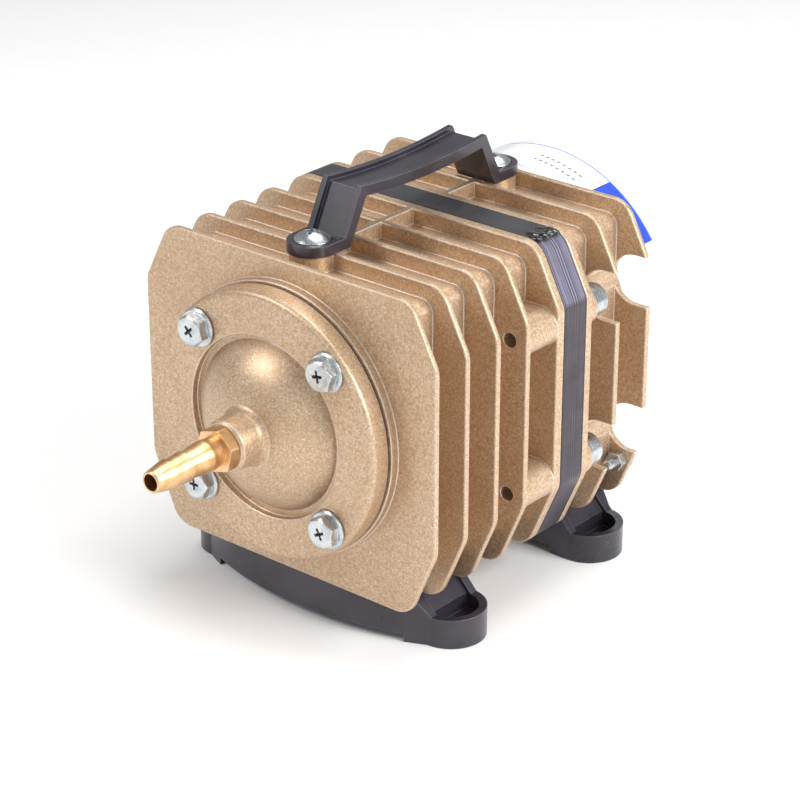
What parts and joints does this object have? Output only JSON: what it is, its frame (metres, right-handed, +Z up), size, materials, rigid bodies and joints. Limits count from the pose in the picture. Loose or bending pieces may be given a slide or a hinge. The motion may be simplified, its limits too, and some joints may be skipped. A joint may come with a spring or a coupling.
{
  "type": "air pump",
  "caption": "Electromagnetic piston air pump: finned octagonal cast housings on a laminated stator, domed cover with brass hose barb, carrying handle, foot bars and white rear cap.",
  "frame": {"origin": "centre of the four foot holes, on the standing plane under the feet", "axes": "+Z up; the outlet looks towards -Y and the rear cap towards +Y; +X is on the right seen from the outlet"},
  "size_m": [0.1, 0.1734, 0.118],
  "materials": {
    "cast_housing": "champagne hammertone paint",
    "gasket_rubber": "matt",
    "zinc_steel": "zinc plated",
    "brass": "turned",
    "valve_aluminium": "machined",
    "spring_steel": "bright",
    "seal_ptfe": "filled PTFE",
    "electrical_steel": "varnished laminations",
    "bobbin_nylon": "moulded",
    "copper_winding": "enamelled wire",
    "bush_bronze": "sintered",
    "black_plastic": "moulded",
    "white_cap": "glossy",
    "label_film": "printed film",
    "filter_foam": "open-cell foam"
  },
  "bodies": {
    "pump_body": {"front_housing": "cast_housing", "front_cover": "cast_housing", "cover_gasket": "gasket_rubber", "cover_screws": "zinc_steel", "hose_barb": "brass", "valve_plate": "valve_aluminium", "outlet_valve_screw": "zinc_steel", "outlet_valve_spring": "spring_steel", "cylinder_liner": "spring_steel", "return_spring": "spring_steel", "stator_laminations": "electrical_steel", "bobbin_left": "bobbin_nylon", "bobbin_right": "bobbin_nylon", "coil_left": "copper_winding", "coil_right": "copper_winding", "rear_housing": "cast_housing", "guide_bush": "bush_bronze", "through_bolts": "zinc_steel", "bolt_washers": "zinc_steel", "bolt_spring_washers": "zinc_steel", "earth_screw": "zinc_steel", "earth_washer": "zinc_steel", "earth_nut": "zinc_steel", "handle": "black_plastic", "handle_screws": "zinc_steel", "front_foot": "black_plastic", "rear_foot": "black_plastic", "foot_screws": "zinc_steel", "rear_cap": "white_cap", "cap_label": "label_film", "cap_screws": "zinc_steel", "filter_sponge": "filter_foam", "cable_grommet": "gasket_rubber"},
    "piston_assembly": {"piston": "valve_aluminium", "piston_seal": "seal_ptfe", "intake_valve_screw": "zinc_steel", "piston_shaft": "spring_steel", "armature": "electrical_steel", "shaft_nut": "zinc_steel", "shaft_bumper": "gasket_rubber"},
    "intake_valve_body": {"intake_valve": "spring_steel"},
    "outlet_valve_body": {"outlet_valve": "spring_steel"}
  },
  "joints": [
    {"name": "piston_stroke", "type": "slide", "parent": "pump_body", "child": "piston_assembly", "axis": [0, 1, 0], "range_m": [0, 0.008], "stiffness_N_per_m": 2500, "springref_m": -0.002, "deforming": ["return_spring"]},
    {"name": "intake_valve_lift", "type": "slide", "parent": "piston_assembly", "child": "intake_valve_body", "axis": [0, -1, 0], "range_m": [0, 0.0007], "stiffness_N_per_m": 60, "springref_m": -0.0008},
    {"name": "outlet_valve_lift", "type": "slide", "parent": "pump_body", "child": "outlet_valve_body", "axis": [0, -1, 0], "range_m": [0, 0.0012], "stiffness_N_per_m": 120, "springref_m": -0.001, "deforming": ["outlet_valve_spring"]}
  ]
}
